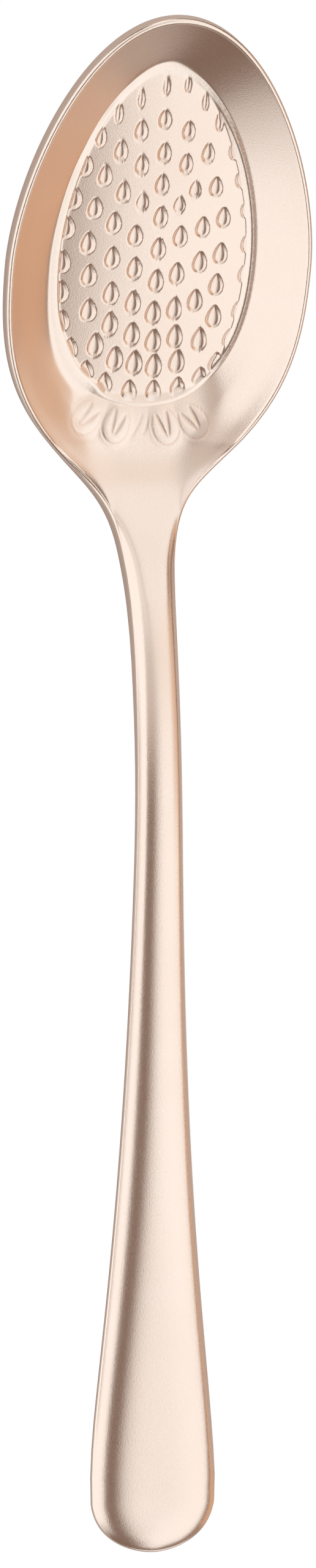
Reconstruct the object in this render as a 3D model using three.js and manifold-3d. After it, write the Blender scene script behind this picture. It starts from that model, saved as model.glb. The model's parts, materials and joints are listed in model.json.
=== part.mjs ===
// Strawberry spoon: a table spoon pressed from one piece of metal, whose shallow bowl carries a flat
// strawberry-shaped panel for crushing berries.
//
// The spoon is drawn in the frame of its bowl: X runs across it, Y along it to the tip, Z up from the
// plane of the rim, and the origin lies where the bowl is widest. A place along the spoon is its "back",
// the distance behind that widest station, measured along the spine, and so it is negative at the tip.
// At the end the spoon is laid down on its heel and on the end of its handle, as it rests on a table.

import * as THREE from 'three';
import { mergeVertices } from 'three/addons/utils/BufferGeometryUtils.js';
import Module from 'manifold-3d';

// Driving dimensions, in millimetres and degrees

// Outline, seen square to the bowl and the handle
const BOWL_FRONT = 25.8; // from the widest station to the tip
const BOWL_WIDTH = 31.5;
const SHOULDER_RUN = 18.9; // from the widest station to the middle of the shoulder
const SHOULDER_WIDTH = 18.3;
const SHOULDER_ANGLE = 45; // how steeply the outline runs in towards the neck
const NECK_RUN = 21.2; // from the shoulder to the narrowest place
const NECK_WIDTH = 4.55;
const HANDLE_RUN = 83.0; // from the narrowest place to the widest place of the handle
const HANDLE_WIDTH = 13.0;
const HANDLE_END_RUN = 6.1; // from there to the rounded end

// Side view
const NECK_RISE = 32.6; // how steeply the handle leaves the bowl
const NECK_RISE_FROM = 16.5; // backs between which the neck bends up
const NECK_RISE_TO = 26;
const HANDLE_PITCH = 13.9; // slope of the long handle against the rim
const HANDLE_PITCH_FROM = 22; // backs between which the handle levels out
const HANDLE_PITCH_TO = 63;

// Thickness and edges
const SHEET = 1.6; // bowl and rim
const NECK_THICKNESS = 3.0;
const HANDLE_END_THICKNESS = 2.0;
const RIM_EDGE = 0.4; // radius along the rim
const HANDLE_EDGE = 0.9; // radius along the handle
const EDGE_SHARE = 0.45; // most of the thickness that an edge radius may take
const HANDLE_CROWN = 0.5; // rise of the handle's front above its edges
const REST_FLAT = 0.15; // ground off the heel and the end of the handle, so that the spoon lies still

// Hollow of the bowl
const BOWL_DEPTH = 2.3;
const BOWL_RISE_FROM = 8; // backs between which the hollow runs out into the neck
const BOWL_RISE_TO = 27;
const BOWL_POWER = 3.5; // higher is flatter in the middle and steeper at the rim

// Strawberry panel: a floor with a wall and a raised bead round it
const PANEL_WIDTH = 21.2;
const PANEL_FRONT = 19.9; // from the widest station to the point of the strawberry
const PANEL_BACK = 14.6; // from the widest station to its broad end
const BEAD_WIDTH = 0.9;
const BEAD_HEIGHT = 0.85; // above the floor
const BEAD_BEVEL = 0.22;
const WALL_RUN = 0.45; // how far the wall leans out
const FLOOR_SINK = 0.05; // floor below the middle of the plain bowl

// Seeds: pits in the floor, each with a bump below
const SEED_LENGTH = 2.4;
const SEED_WIDTH = 1.5;
const SEED_DEPTH = 0.45;
const SEED_BUMP = 0.3;
const SEED_WAIST = 0.6; // share of the outline left near the end of a seed
const SEED_WAIST_DEPTH = 0.75; // share of the depth at which that is
const SEED_COLUMN_PITCH = 2.25;
const SEED_ROW_PITCH = 3.4;
const SEED_FIRST_ROW = 14.4; // foremost seed of the middle column
const SEED_MARGIN = 0.75; // from a seed's middle to the foot of the wall, at least
const BORDER_SEEDS = 28; // half pits round the foot of the wall

// Leaves: two pairs of low lobes behind the broad end of the strawberry
const LEAF_LENGTH = 4.0;
const LEAF_WIDTH = 2.7;
const LEAF_RISE = 0.35; // above the bowl
const LEAF_ROOT = 0.5; // sunk in the bowl
const LEAF_SHOULDER = 0.8; // share of the outline at which a leaf starts to round off
const LEAF_SHOULDER_RISE = 0.7; // share of the rise there
const LEAF_GAP = 1.6; // from the panel to a leaf's middle
const LEAVES = [
  { side: 2.6, turn: 18 },
  { side: 5.6, turn: 40 },
];

// How full a stretch of an outline is at its ends, as a share of the stretch: in a quarter of an
// ellipse both ends have 0.55, and less is more pointed
const TIP_FULLNESS = 0.605;
const BOWL_FRONT_FULLNESS = 0.373;
const BOWL_BACK_FULLNESS = 0.41;
const SHOULDER_FRONT_FULLNESS = 0.41;
const SHOULDER_BACK_FULLNESS = 0.39;
const NECK_FRONT_FULLNESS = 0.795;
const NECK_BACK_FULLNESS = 0.67;
const HANDLE_FRONT_FULLNESS = 0.138;
const HANDLE_BACK_FULLNESS = 0.88;
const HANDLE_END_FULLNESS = 0.21;
const PANEL_POINT_FULLNESS = 0.47;
const PANEL_BROAD_FULLNESS = 0.7;

// Roots of the outline's fans: the spine carries the sections between them
const TIP_FAN = 20; // from the tip to the front root
const END_FAN = 5; // from the end of the handle to the rear root

// Greatest value of sin(a) sin(a / 2), the half width of a drop of unit half length
const DROP_PEAK = 0.77;

// Fineness of the mesh
const OUTLINE_STEPS = [12, 10, 10, 14, 6];
const RING_SHARES = [0, 0.22, 0.42, 0.6, 0.76, 0.89, 1];
const SPINE_STEP = 0.25;
const PANEL_STEPS = 12;
const SEED_SIDES = 9;
const LEAF_SIDES = 16;
const STEEPEST_TILT = 45; // the resting tilt is sought below this, by halving the range
const TILT_HALVINGS = 40;

const SATIN_ROSE_GOLD = new THREE.MeshStandardMaterial({ color: 0xd9ac90, roughness: 0.36, metalness: 1 });

const { degToRad, clamp, lerp, smoothstep } = THREE.MathUtils;
const wasm = await Module();
wasm.setup();

// Places that follow from the driving dimensions
const shoulderBack = SHOULDER_RUN;
const neckBack = shoulderBack + NECK_RUN;
const handleBack = neckBack + HANDLE_RUN;
const endBack = handleBack + HANDLE_END_RUN;
const floorZ = -(BOWL_DEPTH + FLOOR_SINK);
const beadZ = floorZ + BEAD_HEIGHT;
const padZ = floorZ - SHEET;

// Slope of the spine against the rim: it rises at the neck, then levels out along the handle
function slopeAt(back) {
  const rise = NECK_RISE * smoothstep(back, NECK_RISE_FROM, NECK_RISE_TO);
  const fall = (NECK_RISE - HANDLE_PITCH) * smoothstep(back, HANDLE_PITCH_FROM, HANDLE_PITCH_TO);
  return degToRad(rise - fall);
}

// The spine, summed up in short steps from the widest station to the end of the handle
function sumSpine() {
  const points = [new THREE.Vector2(0, 0)];
  for (let back = 0; back < endBack + SPINE_STEP; back += SPINE_STEP) {
    const slope = slopeAt(back + SPINE_STEP / 2);
    const step = new THREE.Vector2(-Math.cos(slope), Math.sin(slope)).multiplyScalar(SPINE_STEP);
    points.push(points.at(-1).clone().add(step));
  }
  return points;
}
const spine = sumSpine();

// A point at a side distance from the spine and a height above it, square to the spine
function onSpoon(side, back, height) {
  if (back <= 0) {
    return new THREE.Vector3(side, -back, height);
  }
  const at = back / SPINE_STEP;
  const step = Math.min(Math.floor(at), spine.length - 2);
  const foot = spine[step].clone().lerp(spine[step + 1], at - step);
  const slope = slopeAt(back);
  return new THREE.Vector3(side, foot.x + height * Math.sin(slope), foot.y + height * Math.cos(slope));
}

// Right half of the outline as (side, back), from the tip to the end of the handle
function drawHalfOutline() {
  const at = (side, back) => new THREE.Vector2(side, back);
  const bowlHalf = BOWL_WIDTH / 2;
  const neckHalf = NECK_WIDTH / 2;
  const handleHalf = HANDLE_WIDTH / 2;
  const shoulder = at(SHOULDER_WIDTH / 2, shoulderBack);
  const inward = at(-Math.sin(degToRad(SHOULDER_ANGLE)), Math.cos(degToRad(SHOULDER_ANGLE)));
  const alongShoulder = (share) => shoulder.clone().addScaledVector(inward, share * SHOULDER_RUN);
  const curves = [
    new THREE.CubicBezierCurve(
      at(0, -BOWL_FRONT),
      at(TIP_FULLNESS * bowlHalf, -BOWL_FRONT),
      at(bowlHalf, -BOWL_FRONT_FULLNESS * BOWL_FRONT),
      at(bowlHalf, 0),
    ),
    new THREE.CubicBezierCurve(
      at(bowlHalf, 0),
      at(bowlHalf, BOWL_BACK_FULLNESS * SHOULDER_RUN),
      alongShoulder(-SHOULDER_FRONT_FULLNESS),
      shoulder,
    ),
    new THREE.CubicBezierCurve(
      shoulder,
      alongShoulder(SHOULDER_BACK_FULLNESS),
      at(neckHalf, neckBack - NECK_FRONT_FULLNESS * NECK_RUN),
      at(neckHalf, neckBack),
    ),
    new THREE.CubicBezierCurve(
      at(neckHalf, neckBack),
      at(neckHalf, neckBack + NECK_BACK_FULLNESS * HANDLE_RUN),
      at(handleHalf, handleBack - HANDLE_FRONT_FULLNESS * HANDLE_RUN),
      at(handleHalf, handleBack),
    ),
    new THREE.CubicBezierCurve(
      at(handleHalf, handleBack),
      at(handleHalf, handleBack + HANDLE_BACK_FULLNESS * HANDLE_END_RUN),
      at(HANDLE_END_FULLNESS * handleHalf, endBack),
      at(0, endBack),
    ),
  ];
  const points = [curves[0].getPoint(0)];
  curves.forEach((curve, i) => points.push(...curve.getPoints(OUTLINE_STEPS[i]).slice(1)));
  return points;
}
const halfOutline = drawHalfOutline();

// Thickness, edge radius, crown and hollow of the spoon at a back
function bodyAt(back) {
  const toNeck = smoothstep(back, 0, neckBack);
  const toEnd = smoothstep(back, neckBack, endBack);
  const thickness = lerp(lerp(SHEET, NECK_THICKNESS, toNeck), HANDLE_END_THICKNESS, toEnd);
  return {
    thickness,
    edge: Math.min(lerp(RIM_EDGE, HANDLE_EDGE, toNeck), EDGE_SHARE * thickness),
    crown: HANDLE_CROWN * smoothstep(back, shoulderBack, neckBack),
    hollow: BOWL_DEPTH * (1 - smoothstep(back, BOWL_RISE_FROM, BOWL_RISE_TO)),
  };
}

// Height of the hollow at a share of the way from the spine to the rim
function sink(hollow, share) {
  return -hollow * (1 - share ** BOWL_POWER);
}

// Height of the front there: the hollow, and on the handle the crown
function rise(hollow, crown, share) {
  return sink(hollow, share) + crown * (1 - share ** 2);
}

// One section of the skin, from the spine on the front, round the edge, to the spine on the underside
function section(rim) {
  const root = new THREE.Vector2(0, clamp(rim.y, TIP_FAN - BOWL_FRONT, endBack - END_FAN));
  const reach = rim.distanceTo(root);
  const { thickness, edge, crown } = bodyAt(rim.y);
  const { hollow } = bodyAt(root.y);
  const place = (distance, height) => {
    const plan = root.clone().lerp(rim, distance / reach);
    return onSpoon(plan.x, plan.y, height);
  };
  const inner = reach - edge;
  const corner = edge * Math.SQRT1_2;
  const front = RING_SHARES.map((share) => place(share * inner, rise(hollow, crown, share)));
  const under = RING_SHARES.map((share) => place(share * inner, sink(hollow, share) - thickness));
  const round = [
    place(inner + corner, corner - edge),
    place(reach, -edge),
    place(reach, edge - thickness),
    place(inner + corner, edge - corner - thickness),
  ];
  return [...front, ...round, ...under.reverse()];
}

// Half width of the spoon at a back behind the tip's fan
function halfWidthAt(back) {
  const next = halfOutline.findIndex((point) => point.y > back);
  const [a, b] = [halfOutline[next - 1], halfOutline[next]];
  return lerp(a.x, b.x, (back - a.y) / (b.y - a.y));
}

// A point at a height above the front of the spoon, behind the tip's fan
function aboveFront(side, back, height) {
  const { edge, crown, hollow } = bodyAt(back);
  const share = Math.abs(side) / (halfWidthAt(back) - edge);
  return onSpoon(side, back, rise(hollow, crown, share) + height);
}

// A closed geometry from rows of points that join into a loop, without the triangles that collapse
function loopGeometry(rows) {
  const across = rows[0].length;
  const position = rows.flat().flatMap((point) => point.toArray());
  const index = [];
  rows.forEach((row, i) => {
    const next = (i + 1) % rows.length;
    for (let k = 0; k + 1 < across; k += 1) {
      const here = i * across + k;
      const there = next * across + k;
      index.push(here, there, there + 1, here, there + 1, here + 1);
    }
  });
  const geometry = new THREE.BufferGeometry();
  geometry.setAttribute('position', new THREE.Float32BufferAttribute(position, 3));
  geometry.setIndex(index);
  return geometry;
}

// The plain spoon: sections round the whole outline, whose roots meet along the spine
function spoonBlank() {
  const left = halfOutline.slice(1, -1).reverse().map((point) => new THREE.Vector2(-point.x, point.y));
  return toSolid(loopGeometry([...halfOutline, ...left].map(section)));
}

// A solid for joining and cutting, from a closed geometry
function toSolid(geometry) {
  const bare = geometry.clone();
  bare.deleteAttribute('normal');
  bare.deleteAttribute('uv');
  const merged = mergeVertices(bare);
  const corners = merged.index.array;
  const kept = [];
  for (let i = 0; i < corners.length; i += 3) {
    const [a, b, c] = corners.slice(i, i + 3);
    if (a !== b && b !== c && c !== a) {
      kept.push(a, b, c);
    }
  }
  return new wasm.Manifold(
    new wasm.Mesh({
      numProp: 3,
      vertProperties: merged.attributes.position.array,
      triVerts: Uint32Array.from(kept),
    }),
  );
}

// Outline of the strawberry, drawn in by an inset: pointed towards the tip, broad towards the handle
function strawberry(inset) {
  const half = PANEL_WIDTH / 2 - inset;
  const front = PANEL_FRONT - inset;
  const back = inset - PANEL_BACK;
  const shape = new THREE.Shape();
  shape.moveTo(half, 0);
  for (const [x, y, fullness] of [
    [1, front, PANEL_POINT_FULLNESS],
    [-1, front, PANEL_POINT_FULLNESS],
    [-1, back, PANEL_BROAD_FULLNESS],
    [1, back, PANEL_BROAD_FULLNESS],
  ]) {
    const sideways = [half * x, fullness * y];
    const endways = [fullness * half * x, y];
    if (x * y > 0) {
      shape.bezierCurveTo(...sideways, ...endways, 0, y);
    } else {
      shape.bezierCurveTo(...endways, ...sideways, half * x, 0);
    }
  }
  return shape;
}

// Body of the panel, from its flat underside up to the top of the bead
function panelBody() {
  const geometry = new THREE.ExtrudeGeometry(strawberry(BEAD_BEVEL), {
    depth: beadZ - padZ - 2 * BEAD_BEVEL,
    bevelThickness: BEAD_BEVEL,
    bevelSize: BEAD_BEVEL,
    bevelSegments: 1,
    curveSegments: PANEL_STEPS,
  });
  return toSolid(geometry.translate(0, 0, padZ + BEAD_BEVEL));
}

// Room above the floor, inside the bead, open at the top
function panelRoom() {
  const geometry = new THREE.ExtrudeGeometry(strawberry(BEAD_WIDTH + WALL_RUN), {
    depth: BOWL_DEPTH,
    bevelThickness: BEAD_HEIGHT,
    bevelSize: WALL_RUN,
    bevelSegments: 1,
    curveSegments: PANEL_STEPS,
  });
  return toSolid(geometry.translate(0, 0, beadZ));
}

// One seed as a drop whose point looks to the tip, from a level above to a rounded end below
function seed(above, below) {
  const levels = [
    [0, above],
    [1, above],
    [1, 0],
    [SEED_WAIST, -SEED_WAIST_DEPTH * below],
    [0, -below],
  ];
  const rows = [];
  for (let side = 0; side < SEED_SIDES; side += 1) {
    const angle = (2 * Math.PI * side) / SEED_SIDES;
    const x = ((0.5 * SEED_WIDTH) / DROP_PEAK) * Math.sin(angle) * Math.sin(angle / 2);
    const y = 0.5 * SEED_LENGTH * Math.cos(angle);
    rows.push(levels.map(([share, z]) => new THREE.Vector3(share * x, share * y, z)));
  }
  return loopGeometry(rows);
}
const seedPit = seed(BEAD_HEIGHT / 2, SEED_DEPTH);
const seedBump = seed(SHEET / 4, SEED_BUMP);

// Whether a point lies inside a closed outline
function isInside(outline, point) {
  let inside = false;
  outline.forEach((a, i) => {
    const b = outline[(i + 1) % outline.length];
    if (a.y > point.y !== b.y > point.y) {
      const crossing = a.x + ((b.x - a.x) * (point.y - a.y)) / (b.y - a.y);
      inside = crossing > point.x ? !inside : inside;
    }
  });
  return inside;
}

// Places of the whole seeds: columns along the spoon, every other one half a row back
function seedPlaces() {
  const field = strawberry(BEAD_WIDTH + WALL_RUN + SEED_MARGIN + SEED_WIDTH / 2).getPoints(PANEL_STEPS);
  const places = [];
  const columns = Math.ceil(PANEL_WIDTH / 2 / SEED_COLUMN_PITCH);
  for (let column = -columns; column <= columns; column += 1) {
    const stagger = column % 2 === 0 ? 0 : SEED_ROW_PITCH / 2;
    for (let y = SEED_FIRST_ROW - stagger; y > -PANEL_BACK; y -= SEED_ROW_PITCH) {
      const place = new THREE.Vector2(column * SEED_COLUMN_PITCH, y);
      if (isInside(field, place)) {
        places.push(place);
      }
    }
  }
  return places;
}

// Copies of one solid at several places on a level
function copies(geometry, places, z) {
  return places.map((place) => toSolid(geometry.clone().translate(place.x, place.y, z)));
}

// One leaf: a low rounded lobe that follows the bowl, its length turned away from the middle
function leaf(side, turn) {
  const back = PANEL_BACK + LEAF_GAP;
  const outward = new THREE.Vector2(Math.sin(degToRad(turn)), Math.cos(degToRad(turn)));
  const levels = [
    [0, LEAF_RISE],
    [LEAF_SHOULDER, LEAF_SHOULDER_RISE * LEAF_RISE],
    [1, 0],
    [1, -LEAF_ROOT],
    [0, -LEAF_ROOT],
  ];
  const rows = [];
  for (let step = 0; step < LEAF_SIDES; step += 1) {
    const angle = (2 * Math.PI * step) / LEAF_SIDES;
    const along = 0.5 * LEAF_LENGTH * Math.cos(angle);
    const across = 0.5 * LEAF_WIDTH * Math.sin(angle);
    const x = outward.x * along - outward.y * across;
    const y = outward.y * along + outward.x * across;
    rows.push(levels.map(([share, height]) => aboveFront(side + share * x, back + share * y, height)));
  }
  return toSolid(loopGeometry(rows));
}

// The whole spoon: leaves, panel and bumps joined to the blank, then the panel's room and the pits cut
function buildSpoon() {
  const whole = seedPlaces();
  const border = strawberry(BEAD_WIDTH + WALL_RUN).getSpacedPoints(BORDER_SEEDS).slice(1);
  const leaves = LEAVES.flatMap(({ side, turn }) => [leaf(side, turn), leaf(-side, -turn)]);
  let spoon = spoonBlank();
  for (const piece of [...leaves, panelBody(), ...copies(seedBump, whole, padZ)]) {
    spoon = spoon.add(piece);
  }
  spoon = spoon.subtract(panelRoom());
  for (const pit of copies(seedPit, [...whole, ...border], floorZ)) {
    spoon = spoon.subtract(pit);
  }
  return spoon;
}

function toGeometry(solid) {
  const mesh = solid.getMesh();
  const geometry = new THREE.BufferGeometry();
  geometry.setAttribute('position', new THREE.BufferAttribute(mesh.vertProperties, mesh.numProp));
  geometry.setIndex(new THREE.BufferAttribute(mesh.triVerts, 1));
  geometry.computeVertexNormals();
  return geometry;
}

// Lowest level that the bowl, or the handle, reaches when the spoon is tilted
function lowestLevel(points, tilt, isHandle) {
  let level = Infinity;
  for (let i = 0; i < points.count; i += 1) {
    if (points.getY(i) < -neckBack === isHandle) {
      level = Math.min(level, points.getY(i) * Math.sin(tilt) + points.getZ(i) * Math.cos(tilt));
    }
  }
  return level;
}

// Tilt at which the heel of the bowl and the end of the handle touch one level
function restTilt(points) {
  let under = 0;
  let over = degToRad(STEEPEST_TILT);
  for (let i = 0; i < TILT_HALVINGS; i += 1) {
    const tilt = (under + over) / 2;
    if (lowestLevel(points, tilt, true) > lowestLevel(points, tilt, false)) {
      under = tilt;
    } else {
      over = tilt;
    }
  }
  return under;
}

// What is ground off below a level, in the frame of the bowl
function groundOff(level, tilt) {
  const slab = new THREE.BoxGeometry(2 * BOWL_WIDTH, 4 * endBack, SHEET);
  return toSolid(slab.translate(0, 0, level - SHEET / 2).rotateX(-tilt));
}

const unground = buildSpoon();
const points = toGeometry(unground).attributes.position;
const tilt = restTilt(points);
const restLevel = lowestLevel(points, tilt, false) + REST_FLAT;
const geometry = toGeometry(unground.subtract(groundOff(restLevel, tilt)));

const spoon = new THREE.Mesh(geometry, SATIN_ROSE_GOLD);
spoon.name = 'spoon';
spoon.rotation.x = tilt;
const box = new THREE.Box3().setFromObject(spoon, true);
const centre = box.getCenter(new THREE.Vector3());
spoon.position.set(-centre.x, -centre.y, -restLevel);

const group = new THREE.Group();
group.add(spoon);

export default group;
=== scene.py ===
# %% [markdown]
# # A satin rose-gold strawberry spoon
# The spoon is one piece of metal: a round-shouldered bowl with a pressed strawberry in it, a narrow
# neck and a long crowned handle. The imported model gives the frame, so the first cell loads it and
# keeps its record. Everything after that is made in millimetres on the spoon's own axes and moved into
# the frame in one step, because a maker's drawing starts from the spoon and not from the table.

# %% Load the frame
import json
import bmesh
import bpy
import numpy as np
from mathutils import Matrix, Vector


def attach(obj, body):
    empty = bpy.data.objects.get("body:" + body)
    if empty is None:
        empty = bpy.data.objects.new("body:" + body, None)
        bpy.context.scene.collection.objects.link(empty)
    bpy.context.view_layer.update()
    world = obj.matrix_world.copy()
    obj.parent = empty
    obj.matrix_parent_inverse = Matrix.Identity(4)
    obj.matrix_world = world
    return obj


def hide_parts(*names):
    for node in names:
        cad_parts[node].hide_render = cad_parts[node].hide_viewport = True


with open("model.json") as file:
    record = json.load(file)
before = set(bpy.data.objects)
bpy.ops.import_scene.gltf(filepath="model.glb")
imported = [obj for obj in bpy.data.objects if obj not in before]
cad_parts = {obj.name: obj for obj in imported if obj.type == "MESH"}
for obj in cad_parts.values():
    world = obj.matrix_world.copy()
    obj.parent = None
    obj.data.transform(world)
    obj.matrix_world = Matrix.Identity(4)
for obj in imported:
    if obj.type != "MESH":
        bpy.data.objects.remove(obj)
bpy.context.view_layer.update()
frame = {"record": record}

# %% [markdown]
# ## Axes of the drawing
# A point of the spoon has a side (across), a back (the way along its middle line behind the widest
# place of the bowl, minus towards the tip) and a height above the rim. The middle line is straight
# through the bowl, rises at the neck and levels out along the handle. A bent line could be a curve
# object, but a table of its slope, summed up once, lets numpy place a whole grid at a time.

# %% Middle line
NECK_RISE, NECK_RISE_FROM, NECK_RISE_TO = 32.6, 16.5, 26.0
HANDLE_PITCH, HANDLE_PITCH_FROM, HANDLE_PITCH_TO = 13.9, 22.0, 63.0
LINE_START, LINE_END, LINE_STEP, END_BACK = -30.0, 132.0, 0.02, 129.2


def smooth(value, start, stop):
    """Smooth step: t squared times (3 - 2 t), where t is the share of the way from start to stop."""
    t = np.clip((value - start) / (stop - start), 0, 1)
    return t * t * (3 - 2 * t)


def slope_at(back):
    """Slope of the middle line in radians: the rise at the neck less the levelling of the handle."""
    rise = NECK_RISE * smooth(back, NECK_RISE_FROM, NECK_RISE_TO)
    fall = (NECK_RISE - HANDLE_PITCH) * smooth(back, HANDLE_PITCH_FROM, HANDLE_PITCH_TO)
    return np.radians(rise - fall)


line_back = np.arange(LINE_START, LINE_END, LINE_STEP)
line_slope = slope_at(line_back + LINE_STEP / 2)
line_y = -LINE_START - np.cumsum(np.cos(line_slope)) * LINE_STEP + LINE_STEP
line_z = np.cumsum(np.sin(line_slope)) * LINE_STEP
print("the handle ends", round(float(np.interp(END_BACK, line_back, line_z)), 2), "mm above the rim")

# %% [markdown]
# ## From the drawing to the table
# The spoon rests on its heel and on the end of its handle, at a tilt. An angle could be typed in, but the
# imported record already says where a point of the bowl's floor lies and which way it faces. That one mount
# fixes the tilt, so nothing is measured twice. Two flats are ground where the spoon rests, so nothing goes
# below the table.

# %% Place points in the frame
MOUNT_POINT = np.array([1.2, 0.8, -2.35])
mount = next(item for item in frame["record"]["mounts"] if item["name"] == "bowl_floor")
MM = 0.001


def place(points):
    """(side, back, height) to metres in the frame: set off from the middle line, square to its slope,
    turned about the side axis by the mount's tilt, moved to the mount, and kept above the table."""
    side, back, height = np.moveaxis(np.asarray(points, float), -1, 0)
    slope = slope_at(back)
    y = np.interp(back, line_back, line_y) + height * np.sin(slope) - MOUNT_POINT[1]
    z = np.interp(back, line_back, line_z) + height * np.cos(slope) - MOUNT_POINT[2]
    sin, cos = -mount["axis"][1], mount["axis"][2]
    turned = np.stack([side - MOUNT_POINT[0], y * cos - z * sin, y * sin + z * cos], -1) * MM
    placed = turned + np.array(mount["pos_m"])
    placed[..., 2] = np.maximum(placed[..., 2], 0)
    return placed


print("the middle of the bowl's rim is at", np.round(place([0, 0, 0]), 4))

# %% [markdown]
# ## Outline
# Seen from the front the spoon is a soft egg with a blunt tip, shoulders that swing into a thin neck,
# and a handle that widens slowly to a round end. A row of points set one by one would ripple in the light,
# so five splines draw the right half, as a pattern maker would with a bent lath, and the left half is its
# mirror.

# %% Half outline
BOWL_FRONT, BOWL_HALF = 25.8, 15.75
SHOULDER_BACK, SHOULDER_HALF = 18.9, 9.15
NECK_BACK, NECK_HALF = 40.1, 2.275
HANDLE_BACK, HANDLE_HALF = 123.1, 6.5
FRONT_ROOT, REAR_ROOT = -5.8, 124.2


def spline(corners, count=400):
    """Cubic spline: its four corners weighed by (1 - t)^3, 3 t (1 - t)^2, 3 t^2 (1 - t) and t^3."""
    t = np.linspace(0, 1, count)[:, None]
    a, b, c, d = np.asarray(corners, float)
    return a * (1 - t) ** 3 + 3 * b * t * (1 - t) ** 2 + 3 * c * t * t * (1 - t) + d * t**3


def half_outline():
    """Right half as (side, back), from the tip to the end of the handle."""
    shoulder = np.array([SHOULDER_HALF, SHOULDER_BACK])
    inward = SHOULDER_BACK * np.array([-np.sqrt(0.5), np.sqrt(0.5)])
    neck_run, handle_run = NECK_BACK - SHOULDER_BACK, HANDLE_BACK - NECK_BACK
    end_run = END_BACK - HANDLE_BACK
    curves = [
        [(0, -BOWL_FRONT), (0.605 * BOWL_HALF, -BOWL_FRONT),
         (BOWL_HALF, -0.373 * BOWL_FRONT), (BOWL_HALF, 0)],
        [(BOWL_HALF, 0), (BOWL_HALF, 0.41 * SHOULDER_BACK), shoulder - 0.41 * inward, shoulder],
        [shoulder, shoulder + 0.39 * inward,
         (NECK_HALF, NECK_BACK - 0.795 * neck_run), (NECK_HALF, NECK_BACK)],
        [(NECK_HALF, NECK_BACK), (NECK_HALF, NECK_BACK + 0.67 * handle_run),
         (HANDLE_HALF, HANDLE_BACK - 0.138 * handle_run), (HANDLE_HALF, HANDLE_BACK)],
        [(HANDLE_HALF, HANDLE_BACK), (HANDLE_HALF, HANDLE_BACK + 0.88 * end_run),
         (0.21 * HANDLE_HALF, END_BACK), (0, END_BACK)],
    ]
    return np.vstack([spline(curves[0])] + [spline(curve)[1:] for curve in curves[1:]])


def lengths(curve):
    """Way along a line of points, from its first point."""
    return np.r_[0, np.cumsum(np.hypot(*np.diff(curve, axis=0).T))]


outline = half_outline()
outline_way = lengths(outline)
tangent = np.gradient(outline, outline_way, axis=0)
outward = np.column_stack([tangent[:, 1], -tangent[:, 0]])
outward /= np.hypot(*outward.T)[:, None]
outward[0], outward[-1] = (0, -1), (0, 1)
print("half outline", len(outline), "points,", round(outline_way[-1], 1), "mm long")

# %% [markdown]
# ## Cross-sections
# The bowl has a straight wall like a cone. Behind the strawberry a ramp takes over, a parabola that levels
# off at the neck, and wall and ramp meet in a soft valley. The neck is a flat bar with narrow bevels. Along
# the handle these soften into a broad crown that ends in a rolled corner. A lathe or a subdivided cage
# would round all of this alike, so the height is a formula of the distance inside the rim and of the
# place along the spoon.

# %% Heights across the spoon
BOWL_DEPTH, BOWL_POWER, BOWL_RISE_FROM, BOWL_RISE_TO = 2.3, 3.5, 8.0, 27.0
SHEET, NECK_THICK, END_THICK = 1.6, 3.0, 2.0
WALL_RISE, RAMP_BEND, RAMP_END, RAMP_SOFT = 0.53, 0.0148, 26.4, 0.6
VALLEY_NARROW, VALLEY_BROAD, VALLEY_FROM, VALLEY_TO = 0.5, 1.1, 3.6, 0.8
CROWN_TOP, BELLY_POWER, SECTION_BACK = 0.7, 4.0, 21.5
BEVEL_STEEPS = [(1.0, 22.5, 27)]
BEVEL_WIDTHS = [(0.7, 23, 31), (-0.28, 36, 50), (0.16, 55, 110)]
BEVEL_SOFT, BEVEL_SOFTS = 0.25, [(0.37, 30, 51), (0.3, 51, 97)]
ROLL_SLOPES, ROLL_WIDTH, ROLL_SOFT = [(0.75, 30, 48), (-0.675, 116, 124)], 0.47, 0.08


def higher(a, b, soft):
    """Soft maximum of two heights: half of a + b + root((a - b)^2 + s^2)."""
    return 0.5 * (a + b + np.sqrt((a - b) ** 2 + soft**2))


def hollow_at(back):
    """Depth of the back of the bowl: full in the bowl, gone where the neck begins."""
    return BOWL_DEPTH * (1 - smooth(back, BOWL_RISE_FROM, BOWL_RISE_TO))


def thick_at(back):
    """Thickness on the middle line: sheet in the bowl, a stout bar at the neck, thinner at the end."""
    neck = SHEET + (NECK_THICK - SHEET) * smooth(back, 0, NECK_BACK)
    return neck + (END_THICK - neck) * smooth(back, NECK_BACK, END_BACK)


def stages(back, changes):
    """Sum of changes along the spoon, each an amount that comes in smoothly between two backs."""
    return sum(amount * smooth(back, start, stop) for amount, start, stop in changes)


def bevel_at(back):
    """Steepness, width and softness of the bevel: narrow at the neck, broad along the handle."""
    return stages(back, BEVEL_STEEPS), stages(back, BEVEL_WIDTHS), BEVEL_SOFT + stages(back, BEVEL_SOFTS)


def roll_at(back):
    """Steepness of the rolled corner that ends the bevel along the handle."""
    return stages(back, ROLL_SLOPES)


def pan(inside, back):
    """Inside of the bowl: the higher of the wall, which falls with the distance inside the rim, and the
    ramp, a parabola that levels off at the neck. The valley between them widens from panel to rim."""
    wall = -WALL_RISE * inside
    ramp = -RAMP_BEND * (RAMP_SOFT * np.logaddexp(0, (RAMP_END - back) / RAMP_SOFT)) ** 2
    valley = VALLEY_NARROW + (VALLEY_BROAD - VALLEY_NARROW) * smooth(inside, VALLEY_FROM, VALLEY_TO)
    valley = valley * np.minimum(1, -ramp)
    return higher(wall, ramp, valley)


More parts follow.
